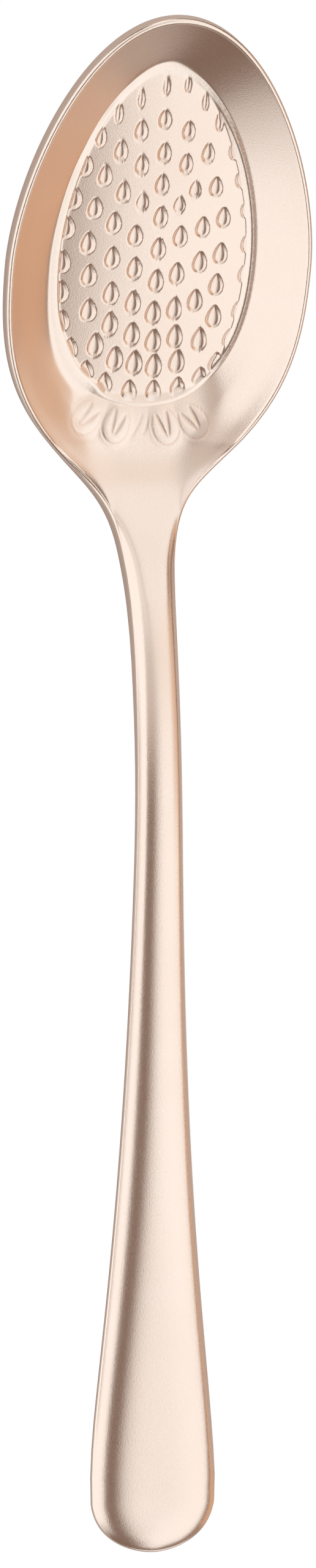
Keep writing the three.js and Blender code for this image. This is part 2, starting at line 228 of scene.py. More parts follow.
def front_height(inside, span, back, gap):
    """Pan, plus crown, less bevel and corner. Their slopes go from none to full where the gap to the edge
    falls below their widths, as a soft ramp log(1 + e^t). The bevel counts on both sides of the middle."""
    steep, width, soft = bevel_at(back)
    fall = np.logaddexp(0, (width - gap) / soft) + np.logaddexp(0, (width + gap - 2 * span) / soft)
    fall = fall - 2 * np.logaddexp(0, (width - span) / soft)
    corner = roll_at(back) * ROLL_SOFT * np.logaddexp(0, (ROLL_WIDTH - gap) / ROLL_SOFT)
    crown = CROWN_TOP * smooth(back, SECTION_BACK, NECK_BACK)
    return pan(inside, back) + crown - steep * soft * fall - corner


def under_height(share, back, edge_low):
    """The back of the bowl, -depth (1 - share to a power), one thickness lower and drawn up towards the
    edge by the fourth power of the share."""
    belly = edge_low + thick_at(back)
    return belly * share**BELLY_POWER - hollow_at(back) * (1 - share**BOWL_POWER) - thick_at(back)


print("thickness at bowl, neck, end:", [round(float(thick_at(b)), 2) for b in (0, NECK_BACK, END_BACK)])

# %% [markdown]
# ## Lines where the edge begins
# A real rim has a narrow flat land that polishing has rolled over at its outer side, and a tiny step down
# from the land into the bowl catches the light as a thin line. Along the handle there is no land: there
# the roll starts at the bevel's own slope, so the light runs over it with no crease. A Bevel modifier would
# have one width all round, so the lines where the edge begins are set off from the outline.

# %% Inner lines of the edge
LAND, LAND_LEAST, LAND_STEP, STEP_RUN, LAND_FADE = 0.14, 0.02, 0.06, 0.05, 14.0
EDGE_RADIUS, HANDLE_SIDE, SIDE_FROM, SIDE_TO, ROLL_PART = 0.32, 0.68, 26.0, 60.0, 0.95
LEAST_SPAN, LEAST_REACH = 0.5, 1.0

root_back = np.clip(outline[:, 1], FRONT_ROOT, REAR_ROOT)
reach = np.hypot(outline[:, 0], outline[:, 1] - root_back)
steep, width, soft = bevel_at(outline[:, 1])
edge_slope = steep / (1 + np.exp((EDGE_RADIUS - width) / soft)) + roll_at(outline[:, 1]) * ROLL_PART
front_angle = -np.arctan(edge_slope)
in_bowl = 1 - smooth(outline[:, 1], LAND_FADE, SECTION_BACK)
roll_start = EDGE_RADIUS * (1 + np.sin(front_angle))
land_start = roll_start + LAND_LEAST + LAND * in_bowl
inner_gap = land_start + STEP_RUN * in_bowl
inner = outline - outward * inner_gap[:, None]
inner[[0, -1], 0] = 0
edge_front = front_height(0.0, np.maximum(reach - inner_gap, LEAST_SPAN), root_back, inner_gap)

side_wall = SHEET + (HANDLE_SIDE - SHEET) * smooth(outline[:, 1], SIDE_FROM, SIDE_TO)
edge_low = edge_front - side_wall
under_slope = BOWL_POWER * hollow_at(root_back) + BELLY_POWER * (edge_low + thick_at(root_back))
under_angle = np.arctan(under_slope / np.maximum(reach, LEAST_REACH))
under_inner = outline - outward * (EDGE_RADIUS * (1 - np.sin(under_angle)))[:, None]
under_inner[[0, -1], 0] = 0
widest_land = np.interp(0, outline[:, 1], land_start)
print("the rim's land begins", round(float(widest_land), 2), "mm inside the edge")


# %% Distance inside the edge
def inside_of(plan):
    """Distance of places (side, back) from the inner line, and the number of its nearest point: the way
    to that point, measured along the point's outward direction."""
    places = np.stack([np.abs(plan[..., 0]), plan[..., 1]], -1)
    off = places[..., None, :] - inner
    nearest = np.einsum("...k,...k", off, off).argmin(-1)
    return np.sum((inner[nearest] - places) * outward[nearest], -1), nearest


print("the middle of the bowl lies", np.round(inside_of(np.zeros((1, 2)))[0], 2), "mm inside the rim")

# %% [markdown]
# ## Share of the way to the edge
# The back of the bowl is a smooth belly. Its height could follow the distance from the edge, but then the
# broad part would hang lower than the rest, so it follows the share of the way from the middle to the edge.
# Behind the bowl's front root, a share runs straight across the spoon. In front of it, it fans out from the
# root to the tip. A table of reach against angle answers for any number of points at once.

# %% Shares under the bowl
FAN_OVERLAP = 0.5


def share_of(line):
    """Function of (side, back) that gives the share of the way from the middle to a line of the edge:
    side over the line's side, or, ahead of the root, the distance from the root over the line's."""
    behind = line[line[:, 1] >= FRONT_ROOT]
    ahead = line[line[:, 1] <= FRONT_ROOT + FAN_OVERLAP]
    angle = np.arctan2(FRONT_ROOT - ahead[:, 1], ahead[:, 0])
    order = np.argsort(angle)
    fan_reach = np.hypot(ahead[:, 0], ahead[:, 1] - FRONT_ROOT)[order]

    def share(side, back):
        """The straight share behind the root, the fanned one ahead of it."""
        across = np.abs(side) / np.interp(back, behind[:, 1], behind[:, 0])
        fan = np.hypot(side, back - FRONT_ROOT)
        turn = np.arctan2(FRONT_ROOT - back, np.abs(side))
        return np.where(back >= FRONT_ROOT, across, fan / np.interp(turn, angle[order], fan_reach))

    return share


under_share = share_of(under_inner)


def bowl_under(side, back):
    """Underside of the pan at a place of the bowl."""
    low = np.interp(back, outline[:, 1], edge_low)
    return under_height(under_share(side, back), np.maximum(back, FRONT_ROOT), low)


print("the bowl's underside lies at", round(float(bowl_under(0.0, 0.0)), 2), "mm in the middle")

# %% [markdown]
# ## Strawberry outline
# The pressed panel is a strawberry: broad towards the handle and pointed towards the tip. Rings of it
# at several insets carry the floor's edge, the wall and the bead. An offset curve would bunch its points
# at the tip, so every ring is drawn afresh. Each quarter has the same number of equal steps, so the rings
# join up point by point.

# %% Rings of the strawberry
CELLS = 144
PANEL_HALF, PANEL_FRONT, PANEL_REAR = 10.6, 20.25, 14.85
POINT_FULL, BROAD_FULL = 0.5, 0.66


def equal_steps(curve, cells):
    """Points at equal ways along a line."""
    way = lengths(curve)
    at = np.linspace(0, way[-1], cells + 1)
    return np.column_stack([np.interp(at, way, axis) for axis in curve.T])


def strawberry_ring(inset, cells=CELLS):
    """Closed ring of 4 x cells points (side, back): from the middle of the right rear quarter, round
    the point, to the left rear and back along the broad end. Each quarter is one spline."""
    half, front, rear = PANEL_HALF - inset, PANEL_FRONT - inset, PANEL_REAR - inset
    broad = spline([(0, rear), (BROAD_FULL * half, rear), (half, BROAD_FULL * rear), (half, 0)])
    point = spline([(half, 0), (half, -POINT_FULL * front), (POINT_FULL * half, -front), (0, -front)])
    right = np.vstack([equal_steps(broad, cells)[:-1], equal_steps(point, cells)])
    left = right[::-1] * (-1, 1)
    return np.roll(np.vstack([right[:-1], left[:-1]]), -cells // 2, axis=0)


print("panel ring of", len(strawberry_ring(0)), "points")

# %% [markdown]
# ## Seeds
# The seeds are drop-shaped dents, pressed with the point to the tip. Their places are a layout of
# (side, back) in millimetres and not a formula, because on the real stamp the columns lean a little and
# the rows bend along the broad end. They grow a little towards the handle. A last row sits on the foot of
# the bead, which covers its outer halves, and at the tip these seeds are only faint nicks.

# %% Seed layout
SEED_LENGTH, SEED_WIDTH, SEED_DEPTH, SEED_GROWTH = 2.26, 1.52, 0.135, 0.01
SEEDS = np.array([
    (-0.17, -14.88), (-2.54, -13.71), (2.41, -13.67), (-4.46, -11.64), (0.03, -11.45), (4.65, -11.31),
    (2.41, -10.29), (-2.22, -10.21), (-5.88, -9.07), (0.03, -8.19), (5.78, -7.83), (-3.88, -7.38),
    (-6.67, -5.72), (0.18, -4.85), (6.84, -4.64), (-4.62, -4.23), (4.71, -3.69), (-2.31, -2.9),
    (2.41, -2.79), (-7.06, -2.12), (0.22, -1.55), (6.85, -0.89), (-4.5, -0.61), (4.72, -0.06),
    (-2.08, 0.47), (2.37, 1.09), (-6.71, 1.25), (0.27, 1.83), (6.7, 2.36), (-4.3, 3.08), (4.58, 3.96),
    (-1.94, 4.05), (2.46, 4.75), (-6.44, 4.89), (0.26, 5.16), (6.77, 5.7), (-4.12, 6.29), (-1.75, 7.39),
    (2.82, 7.72), (5.45, 8.11), (0.55, 8.13), (-5.41, 8.55), (-3.26, 9.97), (3.28, 10.38),
    (-1.19, 10.43), (0.88, 10.78)])
FAINT_SEEDS = np.array([
    (3.6, -7.63), (-1.85, -6.44), (2.06, -6.08)])
BORDER_SEEDS = np.array([
    (-2.75, -17.11), (-4.92, -15.54), (-6.6, -13.1), (-7.95, -10.15), (-8.85, -6.75), (-9.35, -3.69),
    (-9.5, -0.1), (-9.4, 2.98), (-9.05, 6.07), (-7.95, 8.96), (-6.1, 11.31), (-4.07, 12.6),
    (-1.46, 13.38), (1.09, 13.41), (3.64, 13.14), (5.91, 12.13), (7.5, 10.67), (8.75, 8.12),
    (9.45, 5.13), (9.75, 1.29), (9.75, -1.91), (9.4, -5.51), (8.55, -8.7), (7.45, -11.66),
    (5.6, -14.63), (3.95, -16.74), (2, -18.63), (-0.22, -18.44)])
FAINT_SIZE, FAINT_DEPTH, BORDER_SIZE = 0.82, 0.55, 1.0
TIP_SEEDS, TIP_WIDTH, TIP_DEPTH = (-17, -8), 0.42, 0.45

seed_places = np.vstack([SEEDS, FAINT_SEEDS, BORDER_SEEDS])
kinds = np.repeat([0, 1, 2], [len(SEEDS), len(FAINT_SEEDS), len(BORDER_SEEDS)])
near_tip = 1 - smooth(seed_places[:, 1], *TIP_SEEDS)
seed_sizes = np.choose(kinds, [1 + SEED_GROWTH * seed_places[:, 1], FAINT_SIZE, BORDER_SIZE])
seed_widths = seed_sizes * np.where(kinds == 2, 1 + (TIP_WIDTH - 1) * near_tip, 1)
seed_depths = SEED_DEPTH * np.choose(kinds, [1.0, FAINT_DEPTH, 1 + (TIP_DEPTH - 1) * near_tip])
print(len(SEEDS) + len(FAINT_SEEDS), "whole seeds,", len(BORDER_SEEDS), "along the bead")

# %% [markdown]
# ## Pressing the seeds
# A punch leaves a hollow with a rounded cross-section, whatever it is struck into. So each seed is a
# surface of its own that is deepest on its middle line and rises on all sides, and the pressed metal is
# the lower of the two surfaces. Cutters with booleans would give hard, ragged rims; the soft minimum of
# two heights is one array and rounds the rim as real metal is.

# %% Press
FLOOR_EDGE, FLOOR_CROWN = -2.45, 0.45
DOME_HALF, DOME_LONG, DOME_BACK = 9.25, 15.9, -2.65
DROP_POWER, DROP_PEAK, RIM_STEEP, RIM_SOFT, NO_SEED = 0.75, 1.109, 1.0, 0.02, 1.0
# Painted shade in the seeds: a little inside each dent and a dark line round it.
DENT_INSIDE_SHADE, LINE_AT, LINE_RUN, THIN_DROP, FAR_OFF = 0.25, 0.3, 0.22, 1e-6, 9


def floor_level(side, back):
    """Slightly domed floor: edge plus crown x (1 - squares of the shares of the way out)."""
    return FLOOR_EDGE + FLOOR_CROWN * (1 - (side / DOME_HALF) ** 2 - ((back - DOME_BACK) / DOME_LONG) ** 2)


def press(side, back, height):
    """Height after the seeds are struck. With t along a seed from -1 to 1 at its point, a drop's width
    squared is g = (1 - t^2) (1 - t)^0.75 over its peak, and q is the square of the way across over g. The
    hollow lies below the floor by the depth x fourth root of g x (1 - q + steepness x (1 - q^3)), so it is
    steep near its rim and there is none beyond its ends. The result is the lower of floor and hollow."""
    across = ((side[..., None] - seed_places[:, 0]) / (0.5 * SEED_WIDTH * seed_widths)) ** 2
    along = (seed_places[:, 1] - back[..., None]) / (0.5 * SEED_LENGTH * seed_sizes)
    reach = np.clip(along, -1, 1)
    drop = np.maximum((1 - reach**2) * (1 - reach) ** DROP_POWER / DROP_PEAK, THIN_DROP)
    q = np.minimum(across / drop, FAR_OFF)
    hollow = floor_level(*seed_places.T) - seed_depths * drop**0.25 * (1 - q + RIM_STEEP * (1 - q**3))
    hollow = np.where(np.abs(along) < 1, hollow, np.inf)
    lowest = np.minimum(hollow.min(-1), height + NO_SEED)
    return -higher(-height, -lowest, RIM_SOFT)


def dent_shade_mask(dent):
    """Painted shade in a dent: a little inside it, and a dark line round it, e to the minus square, where
    the dent has the line's share of its depth."""
    share = dent / SEED_DEPTH
    return DENT_INSIDE_SHADE * np.clip(share, 0, 1) + (1 - DENT_INSIDE_SHADE) * np.exp(-((share - LINE_AT) / LINE_RUN) ** 2)


middle = floor_level(*SEEDS.T)
print("deepest seed", round(float((middle - press(*SEEDS.T, middle)).max()), 2), "mm")

# %% [markdown]
# ## Nets of points
# Every surface is a grid of points. Separate objects would show a seam wherever two of them meet, so a
# small keeper collects the grids for one mesh, with their faces and three masks: painted shade in dents,
# the crease and engraved lines, a painted highlight on raised edges, and painted shade on the bead's right
# flank. Where one grid has twice the points of its neighbour, a strip of three triangles per step knits
# them, which saves faces on the plain underside.

# %% Collect the nets
nets = {"points": [], "quads": [], "triangles": [], "pressed": [], "painted_highlight": [], "flank_shade_mask": []}


def add_points(points, pressed=0.0, painted_highlight=0.0, flank_shade_mask=0.0):
    """Store points and their masks, and give back their numbers in the shape of the grid."""
    shape = points.shape[:-1]
    first = sum(len(part) for part in nets["points"])
    nets["points"].append(points.reshape(-1, 3))
    nets["pressed"].append(np.broadcast_to(pressed, shape).ravel())
    nets["painted_highlight"].append(np.broadcast_to(painted_highlight, shape).ravel())
    nets["flank_shade_mask"].append(np.broadcast_to(flank_shade_mask, shape).ravel())
    return first + np.arange(np.prod(shape)).reshape(shape)


def weave(numbers, closed=False):
    """Quads between neighbouring rows and columns of a grid of numbers, round to the first column
    again if it is closed."""
    grid = np.hstack([numbers, numbers[:, :1]]) if closed else numbers
    quads = np.stack([grid[:-1, :-1], grid[:-1, 1:], grid[1:, 1:], grid[1:, :-1]], -1)
    nets["quads"].append(quads.reshape(-1, 4))


def knit(fine, coarse):
    """Three triangles for each step of the coarse row, which has half the steps of the fine one."""
    a, b, c, d, e = fine[:-1:2], fine[1::2], fine[2::2], coarse[:-1], coarse[1:]
    nets["triangles"].append(np.concatenate([np.column_stack(t) for t in ((a, b, d), (b, e, d), (b, c, e))]))


def solid_points(plan, height):
    """(side, back) and a height to (side, back, height)."""
    return np.concatenate([plan, height[..., None]], -1)


print("nets ready")

# %% [markdown]
# ## Floor of the panel
# The floor is slightly domed, which is what makes one side of it fall into shade, and it carries the
# seeds. A round net would crowd its points at a pole, so a square net is pulled onto the strawberry:
# each square inside the square becomes a smaller strawberry.

# %% Floor
FLOOR_CENTRE, FOOT_INSET = np.array([0.0, -1.5]), 2.6


def square_net(ring, centre, cells):
    """Square net pulled onto a ring: a point goes along the ray to its ring point, by the share that
    is the larger of its two coordinates. The ring point is found from the smaller over the larger."""
    line = np.linspace(-1, 1, cells + 1)
    u, v = np.meshgrid(line, line)
    share = np.maximum(np.abs(u), np.abs(v))
    size = np.where(share > 0, share, 1)
    sides = [(u >= np.abs(v)), (v >= np.abs(u)), (-u >= np.abs(v))]
    turn = np.select(sides, [v / size, 2 - u / size, 4 - v / size], 6 + u / size)
    at = (turn * cells / 2 + cells / 2) % (4 * cells)
    closed = np.vstack([ring, ring[:1]])
    edge = np.stack([np.interp(at, np.arange(4 * cells + 1), axis) for axis in closed.T], -1)
    return centre + share[..., None] * (edge - centre), share


floor_plan, _ = square_net(strawberry_ring(FOOT_INSET), FLOOR_CENTRE, CELLS)
flat_floor = floor_level(floor_plan[..., 0], floor_plan[..., 1])
floor_height = press(floor_plan[..., 0], floor_plan[..., 1], flat_floor)
# The floor's mask is painted shade in the seeds.
weave(add_points(solid_points(floor_plan, floor_height), pressed=dent_shade_mask(flat_floor - floor_height)))
print("floor net", floor_plan.shape[:2])

# %% [markdown]
# ## Bead round the panel
# A low bead frames the panel. On the right it falls steeply on its outside to a thin crease, where the
# bowl's wall begins. On the left it is a level shelf that runs out to the wall, and at the tip the floor
# does so by itself. The bead's inner side runs down into the seeds beside it and covers their outer halves,
# which gives the scalloped line round the real panel. Towards the handle the bowl is less deep, so there
# the bead is one long slope and the seeds are struck into it. A swept curve could not change its section
# like this on the way round, so rings at a list of insets follow the profile.

# %% Foot of the wall
SHELF, SHELF_FADE, TIP_FADE, MEET_SOFT = -2.45, 1.5, 3.0, 0.15
SHELF_SIDES, SHELF_BACKS, TIP_BACKS = (2, 5), (-17, -11), (-19, -12)


def wall_height(plan):
    """Pan at places (side, back), less the tiny step below the rim's land. At the tip the panel's floor
    runs out to meet it, and along the left the bead is a level shelf that does."""
    side, back = np.moveaxis(plan, -1, 0)
    wall = pan(inside_of(plan)[0], back) - LAND_STEP * (1 - smooth(back, LAND_FADE, SECTION_BACK))
    wall = higher(wall, floor_level(side, back) - TIP_FADE * smooth(back, *TIP_BACKS), MEET_SOFT)
    at_shelf = smooth(-side, *SHELF_SIDES) * smooth(back, *SHELF_BACKS)
    return higher(wall, SHELF - SHELF_FADE * (1 - at_shelf), MEET_SOFT)


crease = strawberry_ring(0.0)
crease_height = wall_height(crease)
print("the crease lies from", round(crease_height.min(), 2), "to", round(crease_height.max(), 2), "mm")

# %% Bead on each side
BEAD_RISE, FLANK, TIP_FLANK = 0.32, 0.36, 0.45
RIGHT_START, LEFT_START, REAR_START, TIP_START = 0.6, 0.85, 0.15, 0.65
RIGHT_STEEP, LEFT_STEEP, SHELF_STEEP, REAR_STEEP, TIP_STEEP = 0.7, 1.6, 0.5, 0.45, 0.4
LEFT_SIDES, FLANK_SHADE_SIDES, FLANK_SHADE_BACKS, POINT_BACKS = (2, 6), (2, 7), (9, 13), (-18, -9)
REAR_SHIFT, REAR_BACKS, OPEN_BACKS, LEVEL_BACKS, STEEP_BACKS = 2, (11, 14), (12, 14), (7, 13.5), (5, 9)

crease_side, crease_back = crease.T
left = smooth(-crease_side, *LEFT_SIDES)
tip = 1 - smooth(crease_back, *POINT_BACKS)
rear = smooth(crease_back - REAR_SHIFT * left, *REAR_BACKS)
opened = smooth(crease_back - REAR_SHIFT * left, *OPEN_BACKS)
levelled = np.maximum(left * smooth(crease_back, *SHELF_BACKS), smooth(crease_back, *LEVEL_BACKS))
# Painted shade on the bead's right flank, fading out towards the broad end.
right_flank_shade = smooth(crease_side, *FLANK_SHADE_SIDES) * (1 - smooth(crease_back, *FLANK_SHADE_BACKS))


def round_panel(at_right, at_left, at_rear, at_tip):
    """A measure of the bead at each point of the crease: right mixed with left, then with rear and tip."""
    side = at_right + (at_left - at_right) * left
    return side + (at_rear - side) * rear + (at_tip - side) * tip


left_steep = LEFT_STEEP + (SHELF_STEEP - LEFT_STEEP) * smooth(crease_back, *STEEP_BACKS)
slope_start = round_panel(RIGHT_START, LEFT_START, REAR_START, TIP_START)
slope_steep = round_panel(RIGHT_STEEP, left_steep, REAR_STEEP, TIP_STEEP)
flank_width = FLANK + (TIP_FLANK - FLANK) * tip
raised = 1 - levelled - tip
print("the bead stands", round(BEAD_RISE * raised.max(), 2), "mm above its crease at the right")

# %% Rings of the bead
# Painted shade lies along the crease at the bead's foot and in the seeds under the bead.
FLANK_POWER, SLOPE_SOFT, COVER_SOFT, FOOT_SOFT, FOOT_RUN, CREASE_SHADE = 1.4, 0.08, 0.03, 0.12, 0.5, 0.5
STRIKE_INSETS, SHADE_INSETS = (0.3, 1.2), (0.6, 1.0)
# Between these insets the bead's top gets a painted highlight and its right flank painted shade.
HIGHLIGHT_INSETS, FLANK_SHADE_INSETS = (FLANK, 1.2), (FLANK, 1.7 * FLANK)
BEAD_INSETS = np.r_[np.linspace(FOOT_INSET, FLANK, 23), np.linspace(FLANK, 0, 6)[1:]]

rows, pressed, painted_highlight, flank_shade_mask = [], [], [], []
for inset in BEAD_INSETS:
    ring = strawberry_ring(inset)
    flank = 1 - (1 - np.minimum(inset / flank_width, 1)) ** FLANK_POWER
    drop = slope_steep * SLOPE_SOFT * np.logaddexp(0, (inset - slope_start) / SLOPE_SOFT)
    slope = crease_height + BEAD_RISE * raised * flank - drop
    floor = floor_level(*ring.T)
    dent = floor - press(*ring.T, floor)
    covering = higher(slope, floor - dent, COVER_SOFT)
    struck = higher(slope, floor, FOOT_SOFT) - dent * smooth(inset, *STRIKE_INSETS)
    inner_side = covering + (struck - covering) * opened
    height = slope + (inner_side - slope) * smooth(inset, 0.5 * slope_start, slope_start)
    height = height + (floor - dent - height) * smooth(inset, FOOT_INSET - FOOT_RUN, FOOT_INSET)
    rows.append(solid_points(ring, height))
    # Painted shade in the dents under the bead and along its crease.
    dent_shade = dent_shade_mask(floor - height) * smooth(inset, *SHADE_INSETS)
    pressed.append(dent_shade + CREASE_SHADE * (1 - flank) * raised)
    # Painted highlight on the bead's top.
    painted_highlight.append(flank * (1 - smooth(inset, *HIGHLIGHT_INSETS)))
    # Painted shade on the bead's right flank.
    flank_shade_mask.append(right_flank_shade * (1 - smooth(inset, *FLANK_SHADE_INSETS)))
bead_rows = (rows, pressed, painted_highlight, flank_shade_mask)
print(len(rows), "rings of the bead")

# %% [markdown]
# ## Leaves
# Four puffy leaves spread from the broad end, each with a thin engraved outline and two slits beside
# its rib, and a pair of fine lines between them is the stem. Leaves of their own would lie on the metal like
# stickers. The real ones are so low that they belong to the pan, so they are a relief that is added to its
# height.

# %% Leaf relief
LEAF_LENGTH, LEAF_WIDTH, LEAF_RISE = 3.7, 2.75, 0.09
LEAVES = np.array([
    (-5.75, 15.73, -46.0, 1.0), (-2.75, 16.5, -23.5, 1.0),
    (2.28, 16.67, 19.4, 0.5), (5.15, 16.24, 38.6, 0.4)])
LEAF_EGG, PUFF_RUN = 0.12, (0.6, 1.45)
# The grooves, slits and stem lines carry painted shade as well as their small depth.
GROOVE_DEPTH, GROOVE_WIDTH, GROOVE_FROM, GROOVE_SHADE = 0.02, 0.045, (-0.95, -0.6), 0.8
SLIT_DEPTH, SLIT_ROOT, SLIT_RUN, SLIT_FROM, SLIT_TO = 0.042, -0.75, 1.35, (-0.8, -0.6), (0.5, 0.65)
SLIT_CLOSE, SLIT_APART, SLIT_BEND, SLIT_THIN, SLIT_BROAD = 0.06, 0.36, 0.7, 0.04, 0.07
STEM_LINES = np.array([(-0.06, 15.48, -1.44, 18.14), (0.65, 15.55, 0.02, 17.7)])
STEM_WIDTH, STEM_DEPTH, STEM_BEND, STEM_SHADE = 0.1, 0.02, 1.5, 0.7


def leaf_relief(side, back):
    """Rise of the leaves and a mask of painted shade along their lines: a soft bump inside each egg, less a
    thin groove round it, e to the minus square, and less two lens-shaped slits that meet towards its tip."""
    total = np.zeros(np.broadcast(side, back).shape)
    lines = total
    for middle_side, middle_back, lean, strength in LEAVES:
        turn = np.radians(lean)
        along = (side - middle_side) * np.sin(turn) + (back - middle_back) * np.cos(turn)
        across = (side - middle_side) * np.cos(turn) - (back - middle_back) * np.sin(turn)
        e = along / (0.5 * LEAF_LENGTH)
        a = across / (0.5 * LEAF_WIDTH)
        gauge = np.sqrt(e**2 + (a / (1 + LEAF_EGG * np.clip(e, -1, 1))) ** 2)
        bump = LEAF_RISE * (1 - smooth(gauge, *PUFF_RUN))
        groove = smooth(e, *GROOVE_FROM) * np.exp(-(((gauge - 1) / GROOVE_WIDTH) ** 2))
        t = np.clip((e - SLIT_ROOT) / SLIT_RUN, 0, 1)
        apart = SLIT_CLOSE + SLIT_APART * (1 - t) ** SLIT_BEND
        breadth = SLIT_THIN + SLIT_BROAD * np.sin(np.pi * t)
        slit = np.exp(-(((np.abs(a) - apart) / breadth) ** 2))
        slit = slit * smooth(e, *SLIT_FROM) * (1 - smooth(e, *SLIT_TO))
        total = np.maximum(total, strength * bump) - GROOVE_DEPTH * groove - SLIT_DEPTH * slit
        lines = np.maximum(lines, np.maximum(GROOVE_SHADE * groove, slit))
    for side_0, back_0, side_1, back_1 in STEM_LINES:
        t = np.clip((back - back_0) / (back_1 - back_0), 0, 1)
        off = side - (side_0 + (side_1 - side_0) * t**STEM_BEND)
        line = np.sin(np.pi * t) ** 0.5 * np.exp(-((off / STEM_WIDTH) ** 2))
        total, lines = total - STEM_DEPTH * line, np.maximum(lines, STEM_SHADE * line)
    return total, lines


print("leaf relief", np.round(leaf_relief(*LEAVES[0, :2])[0], 3), "mm")

# %% [markdown]
# ## Wall of the bowl
# From the crease the wall rises straight to the rim, like a cone, and at the back the ramp rises to a line
# across the shoulders where the neck takes over. A plain grid over the bowl would cut crease and rim into
# stairs. So a line from each crease point to its edge point, cut into shares, makes the net. The shares lie
# closer near the crease, where the leaves need fine lines.

# %% Wall
# The leaves' puffs get a painted highlight, and the wall's foot on the right painted shade.
FINE_PART, LEAF_HIGHLIGHT, FLANK_SHADE_PART = 0.72, 0.5, 0.04
WALL_SHARES = np.r_[np.linspace(0, FINE_PART, 43)[1:], np.linspace(FINE_PART, 1, 11)[1:]]
corner_way = np.interp(SECTION_BACK, outline[:, 1], outline_way)
widest_way = np.interp(0, outline[:, 1], outline_way)
right_ways = np.r_[
    np.linspace(corner_way, widest_way, CELLS // 2 + 1), np.linspace(widest_way, 0, CELLS + 1)[1:]]


def at_ways(values, ways):
    """Values of the half outline at given ways along it."""
    return np.column_stack([np.interp(ways, outline_way, column) for column in np.atleast_2d(values.T)])


def mirrored(right):
    """A right half followed by its mirror, from the right corner round the tip to the left corner."""
    flip = np.r_[-1, np.ones(right.shape[-1] - 1)]
    return np.concatenate([right, right[-2::-1] * flip])


def across(corner, cells):
    """Straight line of points from the left corner to the right one."""
    return np.column_stack([np.linspace(-corner[0], corner[0], cells + 1), np.full(cells + 1, corner[1])])


rim_inner = mirrored(at_ways(inner, right_ways))
wall_edge = np.vstack([rim_inner, across(rim_inner[0], CELLS)[1:-1]])
rows, pressed, painted_highlight, flank_shade_mask = bead_rows
for share in WALL_SHARES:
    plan = crease + share * (wall_edge - crease)
    relief, lines = leaf_relief(*plan.T)
    rows.append(solid_points(plan, wall_height(plan) + relief))
    # Painted shade along the leaves' grooves, slits and stem lines.
    pressed.append(lines)
    # Painted highlight on the leaves' puffs.
    painted_highlight.append(np.clip(relief / LEAF_RISE, 0, 1) * LEAF_HIGHLIGHT)
    # Painted shade where the wall leaves the right flank.
    flank_shade_mask.append(right_flank_shade * max(0, 1 - share / FLANK_SHADE_PART))
wall_numbers = add_points(np.array(rows), np.clip(pressed, 0, 1), np.array(painted_highlight), np.array(flank_shade_mask))
weave(wall_numbers, closed=True)
wall_section = np.r_[wall_numbers[-1, 3 * CELLS:], wall_numbers[-1, 0]]
print("wall net", wall_numbers.shape)

# %% [markdown]
# ## Rim
# The edge is a rolled arc at the top, a plain side and a rolled arc below. A bevelled curve would keep both
# arcs alike, but here each has to start at the slope of the surface that it leaves. So one profile in
# angles is carried along the whole outline, first round the bowl and later round the handle.

# %% Edge profile
TOP_STEPS, SIDE_STEPS, LOW_STEPS = 6, 2, 5
edge_table = np.column_stack([outline, outward, front_angle, under_angle, edge_front, edge_low, land_start])


def edge_rows(ways):
    """Points of the edge at many ways along the right half: the land, an arc from it, or from the
    bevel's slope, to the side, and one from the side to the underside's slope, with the edge radius."""
    side, back, out_side, out_back, up, down, top, low, land = at_ways(edge_table, ways).T
    high = (np.pi / 2 + up)[:, None] * np.linspace(1, 0, TOP_STEPS + 1)
    deep = -(np.pi / 2 - down)[:, None] * np.linspace(0, 1, LOW_STEPS + 1)
    high_z = (top - EDGE_RADIUS * np.cos(up))[:, None] + EDGE_RADIUS * np.sin(high)
    deep_z = (low + EDGE_RADIUS * np.cos(down))[:, None] + EDGE_RADIUS * np.sin(deep)
    middle = np.linspace(0, 1, SIDE_STEPS + 1)[1:-1]
    middle_z = high_z[:, -1:] + (deep_z[:, :1] - high_z[:, -1:]) * middle
    inset = EDGE_RADIUS * (1 - np.cos(np.hstack([high, np.zeros_like(middle_z), deep])))
    inset = np.hstack([land[:, None], inset])
    z = np.hstack([high_z[:, :1], high_z, middle_z, deep_z])
    plan_side = side[:, None] - inset * out_side[:, None]
    plan_back = back[:, None] - inset * out_back[:, None]
    return np.stack([plan_side, plan_back, z], -1)


EDGE_POINTS = TOP_STEPS + SIDE_STEPS + LOW_STEPS + 2
# Painted highlight along the rolled top of the edge, less down its side and none below.
highlight_profile = np.interp(np.arange(EDGE_POINTS), [0, 3, TOP_STEPS + 1, TOP_STEPS + 2], [0.6, 1, 0.3, 0])
rim_edge = mirrored(edge_rows(right_ways))
rim_numbers = add_points(rim_edge, painted_highlight=highlight_profile)
weave(rim_numbers)
rim_of_wall = wall_numbers[-1, : 3 * CELLS + 1]
weave(np.array([rim_of_wall, rim_numbers[:, 0]]))
print("rim net", rim_numbers.shape)

# %% [markdown]
# ## Underside of the bowl
# The back of the bowl is the pan one sheet lower, and the pressed panel shows there as a flat pad with
# small bumps where the seeds were struck. A Solidify modifier would copy every line of the front, so the
# back is a net of its own. Nobody looks at it closely, so it has half the lines.

# %% Underside and pad
UNDER_RINGS, KNIT_INSET, KNIT_STEPS = 14, 0.35, 4
PAD_LEVEL, BUMP_HEIGHT, BUMP_FADE = -3.95, 0.3, (0.04, 0.12)
PAD_STEPS = np.array([(-0.25, 0), (-0.1, 0.12), (0.0, 0.45), (0.12, 0.85), (0.3, 1.0)])

